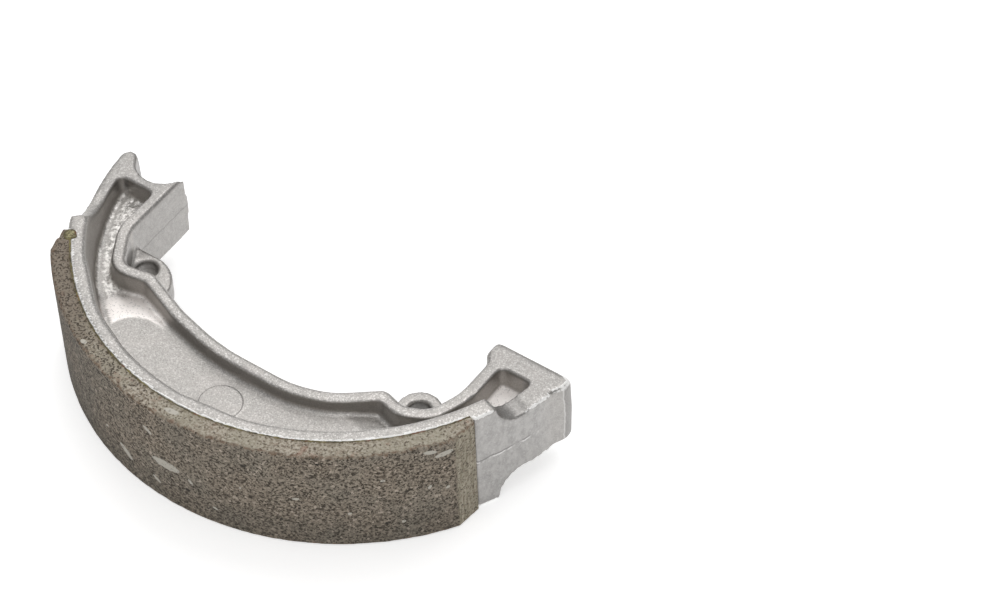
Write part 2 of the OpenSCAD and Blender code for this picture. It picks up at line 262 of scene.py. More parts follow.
def turned_seat(mesh):
    """Gives the lining's seat the sharp edges of a turned face, and levels the web's middle.

    A point within SEAT_REACH of the seat's edge goes to the nearer one of the seat's cylinder
    r = SEAT_R and the side face. The web's middle is levelled round the ejector pin's mark,
    which stands h = MARK_RISE proud inside its circle.
    """
    normal = read_points(mesh, "normal")
    x, y, z = read_points(mesh, "co").T
    radius = np.hypot(x, y)
    angle = np.arctan2(y, x) % (2 * np.pi)
    in_seat = (angle > LINING_START + SEAT_END_GAP) & (angle < LINING_END - SEAT_END_GAP)
    in_seat &= radius > SEAT_R - SEAT_REACH
    from_side = np.minimum(z, WIDTH - z)
    to_seat = in_seat & ((SEAT_R - radius < from_side) | (from_side > SEAT_REACH))
    to_side = in_seat & ~to_seat
    out = np.where(to_seat, SEAT_R / radius, 1)
    x, y = x * out, y * out
    z = np.where(to_side, np.where(z > WIDTH / 2, WIDTH, 0), z)

    from_mark = np.hypot(x - MARK_PLACE[0], y - MARK_PLACE[1])
    web = (np.abs(z - WEB_TOP) < 0.45 * MM) & (normal[:, 2] > 0.85)
    web &= (from_mark < MARK_LEVEL_R) & (radius < WEB_R)
    level = WEB_TOP + MARK_RISE * step((MARK_R - from_mark) / (0.4 * MM) + 0.5)
    z = np.where(web, level, z)
    mesh.vertices.foreach_set("co", np.stack([x, y, z], axis=-1).astype(np.float32).ravel())
    mesh.update()
    mesh.set_sharp_from_angle(angle=SHARP_ANGLE)


def standing_out(mesh):
    """How far each point stands out from its neighbours: the mean of -way . normal / length."""
    ends = np.empty(len(mesh.edges) * 2, np.int32)
    mesh.edges.foreach_get("vertices", ends)
    a, b = ends.reshape(-1, 2).T
    place, normal = read_points(mesh, "co"), read_points(mesh, "normal")
    way = place[b] - place[a]
    way /= np.linalg.norm(way, axis=1)[:, None] + 1e-9
    many = len(place)
    total = np.bincount(a, -(way * normal[a]).sum(axis=1), many)
    total += np.bincount(b, (way * normal[b]).sum(axis=1), many)
    return total / (np.bincount(a, minlength=many) + np.bincount(b, minlength=many))


def mark_zones(mesh):
    """Stores how far each point lies in the zones of the casting's surface, from 0 to 1.

    The lower side is marked as the mirror image of the upper one. The ramp beside the web's
    middle lies PLATFORM_R to PLATFORM_R + 9 mm away from the line between two of the middle's
    centres, and is marked for painted light where it is steepest, as is the cam end's floor.
    """
    normal = read_points(mesh, "normal")
    x, y, z = read_points(mesh, "co").T
    z = np.abs(z - WIDTH / 2) + WIDTH / 2
    radius = np.hypot(x, y)
    angle = np.arctan2(y, x) % (2 * np.pi)
    facing_up = np.abs(normal[:, 2])
    outward = (normal[:, 0] * x + normal[:, 1] * y) / radius
    along_arc = (normal[:, 1] * x - normal[:, 0] * y) / radius
    flat = step((facing_up - 0.3) / 0.5)

    # What belongs to the pockets, and what belongs to the rib, the rim and the scoops instead
    hub_side = (radius < HUB_SIDE_R) & (outward < -0.3)
    for hole in HOLES:
        hub_side |= np.hypot(x - hole[0], y - hole[1]) < LUG_R
    drum_side = (radius > RIM_OUTER_R) | (radius > RIM_INNER_R) & (outward > -0.3)
    scoop = (angle > LINING_END) & (along_arc > 0.35) | (angle < LINING_START) & (along_arc < -0.35)
    scoop &= (radius > END_INNER_R) & (z > WEB_TOP + MM)
    in_pocket = ~(hub_side | drum_side | scoop)
    in_pocket &= (y < POCKET_END_Y) & (z > POCKET_FLOOR - 0.35 * MM)
    low = in_pocket * flat * step((WEB_TOP + 1.2 * MM - z) / (0.6 * MM))

    # The ramp beside the web's middle and the floors at both ends; ramp and cam floor get painted
    # light
    start = np.array(PLATFORM_START)
    line = np.array(PLATFORM_NEXT) - PLATFORM_START
    length = np.hypot(*line)
    past = ((x - start[0]) * line[0] + (y - start[1]) * line[1]) / length
    share = np.clip(past / length, 0, 1)
    away = np.hypot(x - start[0] - share * line[0], y - start[1] - share * line[1])
    ramp = step((away - PLATFORM_R + 0.1 * MM) / (0.5 * MM))
    ramp = ramp * step((PLATFORM_R + 9 * MM - away) / (4 * MM))
    ramp = ramp * low * step((2.5 * MM - past) / (4 * MM))
    cam_floor = low * step((angle - np.radians(336)) / np.radians(4))
    anchor_floor = low * step((WEB_TOP - 0.3 * MM - z) / (0.9 * MM))
    anchor_floor = anchor_floor * (1 - ramp) * (angle < np.radians(250))
    mark_points(mesh, "hammered", anchor_floor)
    mark_points(mesh, "painted_light", np.clip(ramp + cam_floor, 0, 1))
    mark_points(mesh, "powdery", cam_floor + 0.35 * ramp)

    # Upper faces have the coarser grain, upright faces a painted shade
    upper_face = (z > WEB_TOP + 1.5 * MM) * flat
    mark_points(mesh, "grain", 0.1 + 0.2 * flat + 0.25 * upper_face + 0.3 * anchor_floor)
    horn = (x < 0) & (radius < HORN_R) & (y > HORN_Y)
    # The horn's sides and the faces past the cam pad take less of the painted shade
    paler = np.where(horn, 0.6, 1 - 0.5 * step((x - PAD_X) / MM))
    mark_points(mesh, "upright", step((0.55 - facing_up) / 0.4) * ~in_pocket * paler)
    # The pockets' walls are marked for painted light that makes them paler
    mark_points(mesh, "pocket_wall", step((0.75 - facing_up) / 0.4) * in_pocket)

    # The cam end's scoop and the tops of both ends are darkened with painted shade
    scooped = (angle > CAM_SCOOP_START) & (radius > END_INNER_R)
    scooped = scooped & (x < CAM_SCOOP_X) & (z > WEB_TOP + MM)
    scooped = scooped * step((CAM_SCOOP_END - angle) / 0.03)
    ends = upper_face * step((y - ENDS_Y) / (2 * MM)) * (1 - scooped)
    mark_points(mesh, "painted_end_shade", 0.3 * ends + 0.5 * scooped * facing_up)

    # Edges of the rim and of the cam end: rubbed bright, with a painted highlight
    edge = step((standing_out(mesh) - 0.04) / 0.08) * (z > WIDTH - EDGE_DEPTH)
    edge = edge * (1 - scooped) * (facing_up > 0.25) * (facing_up < 0.97)
    outer_edge = (radius > RIM_EDGE_R) | (x > CAM_EDGE_X)
    outer_edge |= (x > CAM_END_X) & (outward > 0.3) & (radius > CAM_EDGE_R)
    mark_points(mesh, "worn_edge_and_highlight", edge * outer_edge * (angle > LINING_START - 0.01))


casting = rounded_casting()
turned_seat(casting.data)
mark_zones(casting.data)
finish_piece(casting, "shoe_casting")

# The lining: its section carried along the arc

# Pale flecks and dark pits on the lining: place along the arc, place round the section from the
# lower edge, half length, half width (all in mm) and lean against the arc in degrees
FLECKS = np.array([
    (52.6, 10.7, 3.5, 1.15, 2), (41.8, 6.1, 2.3, 0.75, -33), (49, 18, 1.4, 0.5, -31),
    (49.7, 4.7, 1.3, 0.42, -34), (57.9, 9.3, 1, 0.35, -60), (103.1, 22.9, 1.35, 0.55, -12),
    (105.6, 21.6, 2, 0.65, 12), (54, 26.6, 1.7, 0.6, 6), (29.4, 25.5, 0.8, 0.5, 20),
    (78.6, 12.6, 0.9, 0.35, 10), (62.6, 4.5, 0.8, 0.3, -20), (68.3, 12.8, 0.5, 0.3, 0),
    (105.9, 12.2, 0.55, 0.4, 30), (102.6, 13.5, 0.6, 0.4, 60), (94.3, 17.5, 0.6, 0.35, 0),
    (36.2, 8.4, 0.5, 0.3, 40), (88, 9, 0.5, 0.35, 15), (97.5, 5.4, 0.45, 0.4, 0),
])
PITS = np.array([
    (56.8, 6.4, 0.8, 0.6, 0), (69.4, 19.4, 0.9, 0.45, 0), (94.6, 5.5, 0.8, 0.5, 20),
    (83, 22.6, 0.6, 0.4, 0), (75.5, 6.2, 0.6, 0.4, 30), (106.5, 17.8, 0.5, 0.5, 0),
])


def spots(along, round_section, table):
    """How far inside the nearest of some ellipses each place lies.

    s = 1 - |(u / a, v / b)| with u and v the ways from an ellipse's middle along its half
    length a and its half width b: 1 in its middle, 0 at its edge, and never under -1.
    """
    u = along[..., None] / MM - table[:, 0]
    v = round_section[..., None] / MM - table[:, 1]
    lean = np.radians(table[:, 4])
    long_way = (u * np.cos(lean) + v * np.sin(lean)) / table[:, 2]
    short_way = (v * np.cos(lean) - u * np.sin(lean)) / table[:, 3]
    return np.clip(1 - np.hypot(long_way, short_way), -1, 1).max(axis=-1)


def lining():
    """The lining as rings (i along the arc) of places j round its section.

    A ring runs up the outer face, in over the top, down the inner face and out over the bottom.
    With s the way along the arc and e the way to the nearer end, the outer face lies at
    r = DRUM_R, or in a bevel at r = cross(p, q - p) / cross(u, q - p) on the chord from p on the
    drum's radius to q at the very end. A place whose ways to the outer and the side face add up
    to less than the edge's chipped size c(s) moves in by half the rest along both.
    """
    rings, up, over = 360, 80, 13
    angle = np.linspace(LINING_START, LINING_END, rings)[:, None]
    along = (angle - LINING_START) * DRUM_R
    near_end = np.minimum(along, along[-1] - along)
    bend = BEVEL_LEN / DRUM_R
    p = np.array([DRUM_R, 0])
    q = (DRUM_R - BEVEL_DROP) * np.array([np.cos(bend), np.sin(bend)])
    way = q - p
    turn = bend - near_end / DRUM_R
    chord = (p[0] * way[1]) / (np.cos(turn) * way[1] - np.sin(turn) * way[0])
    outer = np.where(near_end < BEVEL_LEN, chord, DRUM_R)

    # The section's places: their height z, and their depth from 0 outside to 1 inside. The
    # heights lie closer together near both edges
    t = np.linspace(0, 1, up)
    height = WIDTH * (t - 0.6 * np.sin(2 * np.pi * t) / (2 * np.pi))
    share = np.linspace(0, 1, over + 2)[1:-1]
    depth = np.concatenate([np.zeros(up), share, np.ones(up), share[::-1]])[None, :]
    z = np.concatenate([height, np.full(over, WIDTH), height[::-1], np.zeros(over)])
    z = z[None, :] + 0 * angle
    deep = depth * (outer - FILM_R)
    from_side = np.minimum(z, WIDTH - z)
    is_outer = depth == 0
    round_section = np.where(is_outer, z, np.where(z > WIDTH / 2, WIDTH + deep, -deep))

    # Edges are broken by 0.3 mm, and the upper one is chipped deeper in places
    upper = step((z - WIDTH / 2) / (2 * MM) + 0.5)
    nicks = (0.04 + 0.16 * upper) * uneven(along / MM / 0.9, upper, 3)
    chips = 0.9 * upper * np.clip(uneven(along / MM / 1.7, upper, 4) - 0.55, 0, 1)
    chipped = (0.3 + nicks + chips) * MM
    back = np.clip(chipped - deep - from_side, 0, None) / 2
    radius = outer - deep - back

    # The faces are a little uneven, and sink in at the pits
    relief = 0.035 * uneven(along / MM / 2.3, z / MM / 2.3, 5)
    relief = relief + 0.03 * uneven(along / MM / 0.8, z / MM / 0.8, 6)
    sunk = 0.14 * step(spots(along, round_section, PITS) * 1.6)
    radius = radius + is_outer * (np.minimum(relief, 0) - sunk) * MM
    side_relief = 0.03 * uneven(along / MM / 0.9, deep / MM / 0.9, 7) * MM
    sideways = back + (depth > 0) * (depth < 1) * np.abs(side_relief)
    z = z + np.where(z > WIDTH / 2, -1, 1) * sideways

    points, faces = closed_grid(on_arc(radius, angle, z))
    obj = piece("lining_block", points, faces, "friction_lining")
    mesh = obj.data
    unrolled = np.stack([along + 0 * z, round_section, deep], axis=-1) / MM
    store = mesh.attributes.new("unrolled", "FLOAT_VECTOR", "POINT")
    store.data.foreach_set("vector", unrolled.astype(np.float32).ravel())
    in_bevel = step((BEVEL_LEN - near_end + 0 * z) / (0.35 * MM) + 0.5)
    mark_points(mesh, "side", np.clip(0.5 + (deep - from_side) / (2.4 * MM), 0, 1))
    mark_points(mesh, "bevel", in_bevel * is_outer)
    mark_points(mesh, "fleck", spots(along, round_section, FLECKS))
    mark_points(mesh, "pit", spots(along, round_section, PITS))
    mark_points(mesh, "bond", step((deep - (outer - FILM_R) + 0.7 * MM) / (0.7 * MM)))
    return obj


lining_block = lining()

# The adhesive: its film, the beads that were pressed out on both sides, and a drop

DROP_R = 1.25
DROP_HIGH = 0.29


def bead(angle, along, side, seed):
    """A bead along one side of the bond: the ellipse (w cos f, h sin f) about the bond line.

    w, h and the bond line itself are uneven along the arc. No bead goes below the shoe.
    """
    turn = np.linspace(0, 2 * np.pi, 10, endpoint=False)[None, :]
    lump = uneven_line(along / 1.3, seed) + 0.6 * uneven_line(along / 0.35, seed + 2)
    wide = (0.13 + 0.09 * np.clip(lump, -0.6, 1.6)) * MM
    high = (0.01 + 0.06 * np.clip(lump, -0.1, 1.4)) * MM
    wander = 0.06 * uneven_line(along / 0.6, seed + 4) * MM
    bead_r = (SEAT_R + FILM_R) / 2 + wander + wide * np.cos(turn)
    return on_arc(bead_r, angle, np.maximum(side + high * np.sin(turn), 0))


def drop():
    """A drop over the bond at the lining's start, as rings from its top over its edge to below.

    It is a lumpy dome z = h (1 - q * q) over the outline r = R (1 + 0.2 n(f)), where q runs
    from 0 in its middle to 1 at its edge, with a flat underside.
    """
    over, under, around = 18, 6, 64
    middle = on_arc(51.3 * MM, LINING_START + 0.026, WIDTH)
    share = np.concatenate([np.linspace(0.02, 1, over), np.linspace(0.97, 0.02, under)])[:, None]
    is_under = np.arange(over + under)[:, None] >= over
    turn = np.linspace(0, 2 * np.pi, around, endpoint=False)[None, :]
    outline = DROP_R * (1 + 0.2 * uneven_line(turn * around / (2 * np.pi) / 8, 21)) * MM
    x, y = share * outline * np.cos(turn), share * outline * np.sin(turn)
    lumps = 0.5 + 0.5 * uneven(x / MM / 0.45 + 9, y / MM / 0.45 + 9, 22)
    dome = 0.02 + DROP_HIGH * (1 - share ** 2) * (0.55 + 0.45 * lumps)
    return middle + np.stack([x, y, np.where(is_under, -0.03, dome) * MM], axis=-1)


def adhesive():
    """The film as a ring of its own thickness, a bead at each side and a drop, each closed."""
    angle = np.linspace(LINING_START + 0.002, LINING_END - 0.002, 520)[:, None]
    along = (angle - LINING_START) * DRUM_R / MM
    corner_r = np.array([[SEAT_R, FILM_R, FILM_R, SEAT_R]])
    corner_z = np.array([[0.02, 0.02, 24.58, 24.58]]) * MM
    parts = [on_arc(corner_r, angle, corner_z), bead(angle, along, WIDTH, 11),
             bead(angle, along, 0, 12), drop()]
    places, faces, count = [], [], 0
    for part in parts:
        part_points, part_faces = closed_grid(part, count)
        places.append(part_points)
        faces.append(part_faces)
        count += len(part_points)
    points, faces = np.concatenate(places), np.concatenate(faces)
    return piece("adhesive_line", points, faces, "lining_adhesive")


adhesive_line = adhesive()

# Materials


class Look:
    """A material, with short ways to add to it. Places are in millimetres of the shoe's frame."""

    def __init__(self, name):
        self.material = bpy.data.materials.new(name)
        self.material.use_nodes = True
        self.nodes = self.material.node_tree.nodes
        self.links = self.material.node_tree.links
        self.shader = self.nodes["Principled BSDF"]
        in_metres = self.nodes.new("ShaderNodeTexCoord").outputs["Object"]
        self.place = self.scaled(in_metres, (1000, 1000, 1000))

    def feed(self, socket, value):
        """Links an output to a socket, or sets the socket to a plain value."""
        if isinstance(value, bpy.types.NodeSocket):
            self.links.new(value, socket)
        else:
            socket.default_value = value

    def shade(self, name, value):
        """Gives one of the shader's inputs an output or a plain value."""
        self.feed(self.shader.inputs[name], value)

    def scaled(self, vector, factors):
        """A vector with each part multiplied by its own factor."""
        node = self.nodes.new("ShaderNodeVectorMath")
        node.operation = "MULTIPLY"
        self.feed(node.inputs[0], vector)
        node.inputs[1].default_value = factors
        return node.outputs[0]

    def split(self, vector):
        """The three parts of a vector."""
        node = self.nodes.new("ShaderNodeSeparateXYZ")
        self.links.new(vector, node.inputs[0])
        return node.outputs

    def math(self, operation, a, b=0.0, c=0.0):
        """A sum, product or other result of up to three numbers."""
        node = self.nodes.new("ShaderNodeMath")
        node.operation = operation
        for socket, value in zip(node.inputs, (a, b, c)):
            self.feed(socket, value)
        return node.outputs[0]

    def times(self, a, b):
        """The product of two numbers."""
        return self.math("MULTIPLY", a, b)

    def noise(self, vector, scale, detail=2.0, roughness=0.5):
        """Cloudy noise, about 0.5 on the whole, with so many waves to a millimetre."""
        node = self.nodes.new("ShaderNodeTexNoise")
        self.feed(node.inputs["Vector"], vector)
        node.inputs["Scale"].default_value = scale
        node.inputs["Detail"].default_value = detail
        node.inputs["Roughness"].default_value = roughness
        return node.outputs[0]

    def grains(self, vector, scale):
        """Cells of random size, with one random number for each cell."""
        node = self.nodes.new("ShaderNodeTexVoronoi")
        self.feed(node.inputs["Vector"], vector)
        node.inputs["Scale"].default_value = scale
        parts = self.nodes.new("ShaderNodeSeparateColor")
        self.links.new(node.outputs["Color"], parts.inputs[0])
        return parts.outputs[0]

    def ramp(self, value, low, high, to_low=0.0, to_high=1.0):
        """A smooth step of a value between two limits."""
        node = self.nodes.new("ShaderNodeMapRange")
        node.interpolation_type = "SMOOTHSTEP"
        self.feed(node.inputs["Value"], value)
        node.inputs["From Min"].default_value = low
        node.inputs["From Max"].default_value = high
        node.inputs["To Min"].default_value = to_low
        node.inputs["To Max"].default_value = to_high
        return node.outputs[0]

    def mixed(self, share, first, second):
        """A colour between two colours."""
        node = self.nodes.new("ShaderNodeMix")
        node.data_type = "RGBA"
        self.feed(node.inputs["Factor"], share)
        for socket, colour in ((node.inputs[6], first), (node.inputs[7], second)):
            is_plain = not isinstance(colour, bpy.types.NodeSocket)
            self.feed(socket, (*colour, 1) if is_plain else colour)
        return node.outputs[2]

    def stored(self, name, output="Fac"):
        """What a piece's mesh has stored for each of its points."""
        node = self.nodes.new("ShaderNodeAttribute")
        node.attribute_name = name
        return node.outputs[output]

    def bumped(self, height, distance, strength=1.0, before=None):
        """A bumped normal from a height between 0 and 1 that stands for a distance in metres."""
        node = self.nodes.new("ShaderNodeBump")
        node.inputs["Distance"].default_value = distance
        self.feed(node.inputs["Strength"], strength)
        self.links.new(height, node.inputs["Height"])
        if before is not None:
            self.links.new(before, node.inputs["Normal"])
        return node.outputs[0]


def parting_line(look, upright):
    """How far a place lies on the parting line's ridge, painted as lit, and on its foot, painted in
    shade.

    The line wanders a little about the shoe's middle height, and fades before the cam end.
    """
    x, _, z = look.split(look.place)
    flat_place = look.scaled(look.place, (1, 1, 0))
    wander = look.noise(flat_place, 0.35, 2.0, 0.6)
    line_z = look.math("MULTIPLY_ADD", wander, 1.2, PARTING_Z / MM)
    over_line = look.math("SUBTRACT", z, line_z)
    clear = look.times(look.ramp(look.math("MULTIPLY_ADD", wander, 8.0, x), 54.6, 53), upright)
    ridge = look.times(look.ramp(look.math("ABSOLUTE", over_line), 0.34, 0.14), clear)
    broken = look.ramp(look.noise(flat_place, 0.5, 2.0), 0.36, 0.48)
    ridge = look.times(ridge, look.times(broken, look.ramp(upright, 0.65, 0.9)))
    foot_way = look.math("ABSOLUTE", look.math("SUBTRACT", over_line, 0.42))
    foot = look.times(look.ramp(foot_way, 0.26, 0.08), clear)
    return ridge, foot


def cam_corner(look, upright):
    """How far a place lies on the cam end's worn outer corner with its painted highlight, and on
    the painted shade of the strip behind it.
    """
    x, y, _ = look.split(look.place)
    wander = look.noise(look.scaled(look.place, (0, 0, 1)), 0.5, 2.0)
    past_corner = look.math("SUBTRACT", y, CAM_CORNER_Y / MM)
    past_corner = look.math("MULTIPLY_ADD", wander, 0.9, past_corner)
    on_cam = look.times(look.ramp(x, 47, 48), look.ramp(upright, 0.1, 0.4))
    corner = look.times(look.ramp(look.math("ABSOLUTE", past_corner), 0.22, 0.06), on_cam)
    behind = look.times(look.ramp(past_corner, 0.0, 0.3), on_cam)
    return corner, behind


def mark_circle(look):
    """How far a place lies on the circle of the ejector pin's mark on the web."""
    to_mark = look.nodes.new("ShaderNodeVectorMath")
    to_mark.operation = "DISTANCE"
    look.links.new(look.scaled(look.place, (1, 1, 0)), to_mark.inputs[0])
    to_mark.inputs[1].default_value = (MARK_PLACE[0] / MM, MARK_PLACE[1] / MM, 0)
    way = look.math("SUBTRACT", to_mark.outputs["Value"], MARK_R / MM)
    z = look.split(look.place)[2]
    on_web = look.times(look.ramp(z, 16.2, 16.5), look.ramp(z, 17.8, 17.5))
    return look.times(look.ramp(look.math("ABSOLUTE", way), 0.12, 0.0), on_web)


def cast_aluminium():
    """Bare die-cast aluminium: sparkling grain, soft blotches, parting line, ejector mark, painted
    light and shade.
    """
    look = Look("cast_aluminium")
    grain_zone = look.stored("grain")
    hammered = look.stored("hammered")
    upright = look.stored("upright")
    fine = look.noise(look.place, 3.4, 3.0, 0.65)
    sparkle = look.grains(look.place, 4.6)
    blotch = look.noise(look.place, 0.22, 3.0, 0.55)
    dimples = look.noise(look.place, 1.05, 3.0, 0.62)

    # Grain, blotches, bright and dark specks
    tone = look.mixed(look.ramp(fine, 0.3, 0.72), (0.32, 0.307, 0.292), (0.49, 0.471, 0.448))
    tone = look.mixed(look.ramp(blotch, 0.35, 0.7, 0.0, 0.35), tone, (0.47, 0.44, 0.42))
    speck = look.times(look.ramp(sparkle, 0.66, 0.98),
                       look.math("MULTIPLY_ADD", grain_zone, 0.8, 0.05))
    tone = look.mixed(speck, tone, (0.82, 0.8, 0.775))
    tone = look.mixed(look.ramp(sparkle, 0.2, 0.0, 0.0, 0.25), tone, (0.2, 0.2, 0.195))

    # The crinkled floor of the anchor end's pocket, and the pockets' walls made paler with painted
    # light
    crinkle = look.times(hammered, look.ramp(dimples, 0.42, 0.58, 0.1, 0.9))
    tone = look.mixed(crinkle, tone, (0.93, 0.905, 0.87))
    tone = look.mixed(look.times(look.stored("pocket_wall"), 0.4), tone, (0.5, 0.475, 0.445))

    # Upright faces: a painted shade, mottled, with pale spots and a few dark stains
    mottle = look.noise(look.scaled(look.place, (1, 1, 0.6)), 0.8, 3.0, 0.6)
    side_tone = look.mixed(look.ramp(mottle, 0.35, 0.66),
                           (0.32, 0.312, 0.304), (0.42, 0.408, 0.398))
    spotted = look.ramp(look.noise(look.place, 3.0, 3.0, 0.7), 0.52, 0.7, 0.0, 0.65)
    side_tone = look.mixed(spotted, side_tone, (0.56, 0.55, 0.54))
    stained = look.ramp(look.noise(look.place, 0.55, 3.0, 0.7), 0.6, 0.72, 0.0, 0.35)
    side_tone = look.mixed(stained, side_tone, (0.2, 0.2, 0.19))
    tone = look.mixed(look.times(upright, 0.85), tone, side_tone)

    # Painted light on ramp and cam floor, painted shade on the ends, rubbed and highlit edges
    painted_light = look.times(look.stored("painted_light"), look.ramp(sparkle, 0.04, 0.14, 0.5, 1.0))
    tone = look.mixed(painted_light, tone, (1.0, 0.95, 0.915))
    tone = look.mixed(look.stored("painted_end_shade"), tone, (0.24, 0.234, 0.228))
    patches = look.ramp(look.noise(look.place, 1.5, 3.0, 0.65), 0.36, 0.48, 0.5, 1.0)
    rubbed_and_highlit = look.ramp(look.times(look.stored("worn_edge_and_highlight"), patches), 0.1, 0.6)
    tone = look.mixed(rubbed_and_highlit, tone, (0.98, 0.97, 0.95))

    # Lines: cam corner and parting line with painted highlight and shade, the ejector pin's circle
    corner, behind = cam_corner(look, upright)
    tone = look.mixed(look.times(behind, 0.5), tone, (0.2, 0.195, 0.19))
    tone = look.mixed(look.times(corner, 0.5), tone, (0.62, 0.61, 0.6))
    ridge, foot = parting_line(look, upright)
    tone = look.mixed(look.times(ridge, 0.8), tone, (0.95, 0.93, 0.91))
    tone = look.mixed(look.times(foot, 0.6), tone, (0.16, 0.155, 0.15))
    circle = mark_circle(look)
    tone = look.mixed(look.times(circle, 0.3), tone, (0.15, 0.15, 0.15))
    look.shade("Base Color", tone)

    # Where the metal is powdery, rubbed or has a painted highlight, it scatters light instead of
    # mirroring it
    powdery = look.math("MAXIMUM", look.stored("powdery"), look.math("MAXIMUM", rubbed_and_highlit, ridge))
    look.shade("Metallic", look.math("MULTIPLY_ADD", powdery, -0.85, 1.0))
    soft = look.noise(look.place, 3.1, 2.0, 0.6)
    look.shade("Roughness", look.ramp(soft, 0.3, 0.7, 0.36, 0.5))
    pitting = look.noise(look.place, 1.5, 3.0, 0.65)
    normal = look.bumped(fine, 0.05 * MM, look.ramp(grain_zone, 0.0, 1.0, 0.25, 1.0))
    normal = look.bumped(pitting, 0.07 * MM, look.ramp(grain_zone, 0.2, 1.0, 0.05, 0.7), normal)
    normal = look.bumped(dimples, 0.27 * MM, hammered, normal)
    normal = look.bumped(ridge, 0.1 * MM, 1.0, normal)
    look.shade("Normal", look.bumped(circle, 0.05 * MM, 1.0, normal))
    return look.material


def worn_face(look, fine, coarse, drift, small_cell, along, up):
    """The lining's outer face: brown-grey, dark pores, pale grains, painted shade low down, darker
    to one end.
    """
    cell = look.grains(look.place, 1.9)
    tone = look.mixed(look.ramp(fine, 0.38, 0.62), (0.135, 0.111, 0.085), (0.42, 0.356, 0.281))
    tone = look.mixed(look.ramp(coarse, 0.42, 0.7, 0.0, 0.4), tone, (0.301, 0.251, 0.203))
    tone = look.mixed(look.ramp(drift, 0.35, 0.65, 0.0, 0.35), tone, (0.236, 0.225, 0.189))
    tone = look.mixed(look.ramp(cell, 0.93, 0.99, 0.0, 0.55), tone, (0.684, 0.579, 0.48))
    pores = look.ramp(small_cell, 0.29, 0.13, 0.0, 0.9)
    tone = look.mixed(pores, tone, (0.0456, 0.0381, 0.0291))
    tone = look.mixed(look.ramp(cell, 0.11, 0.06, 0.0, 0.75), tone, (0.0488, 0.0396, 0.0291))
    # Painted shade along the lower side, near the floor
    lower_side = look.ramp(look.math("MULTIPLY_ADD", coarse, 8.0, up), 18, 3, 0.0, 0.35)
    tone = look.mixed(lower_side, tone, (0.07, 0.064, 0.052))
    anchor_side = look.ramp(look.math("MULTIPLY_ADD", coarse, 16.0, along), 58, 22, 0.0, 0.38)
    return look.mixed(anchor_side, tone, (0.08, 0.075, 0.068))


def cut_face(look, fine, drift, small_cell, along):
    """The lining's side faces: paler, sanded, with rust-red patches and darker to one end."""
    tone = look.mixed(look.ramp(fine, 0.38, 0.62), (0.261, 0.217, 0.166), (0.528, 0.476, 0.396))
    tone = look.mixed(look.ramp(drift, 0.4, 0.6, 0.0, 0.5), tone, (0.391, 0.365, 0.286))
    pores = look.ramp(small_cell, 0.2, 0.08, 0.0, 0.75)
    tone = look.mixed(pores, tone, (0.0874, 0.0635, 0.044))
    red = look.ramp(look.noise(look.place, 0.5, 2.0), 0.6, 0.72, 0.0, 0.45)
    tone = look.mixed(red, tone, (0.294, 0.148, 0.0994))
    patch = look.noise(look.place, 0.35, 3.0, 0.6)
    rusty = look.math("MULTIPLY_ADD", patch, 30.0, along)
    tone = look.mixed(look.ramp(rusty, 62, 32, 0.0, 0.7), tone, (0.2, 0.16, 0.125))
    speckled = look.times(look.ramp(rusty, 75, 45), look.ramp(small_cell, 0.38, 0.26, 0.0, 0.7))
    return look.mixed(speckled, tone, (0.045, 0.036, 0.028))


def ground_bevel(look, fine, small_cell, unrolled):
    """The bevels at the lining's ends: pale, with the upright scratches of their grinding."""
    scratches = look.noise(look.scaled(unrolled, (2.4, 0.16, 0)), 1.0, 3.0, 0.6)
    tone = look.mixed(look.ramp(scratches, 0.35, 0.65),
                      (0.281, 0.252, 0.186), (0.495, 0.446, 0.351))
    tone = look.mixed(look.ramp(fine, 0.4, 0.7, 0.0, 0.4), tone, (0.562, 0.505, 0.398))
    smudged = look.ramp(look.noise(look.place, 1.3, 3.0, 0.65), 0.48, 0.64, 0.0, 0.6)
    tone = look.mixed(smudged, tone, (0.21, 0.16, 0.12))
    pores = look.ramp(small_cell, 0.2, 0.08, 0.0, 0.75)
    return look.mixed(pores, tone, (0.0942, 0.0777, 0.0597))


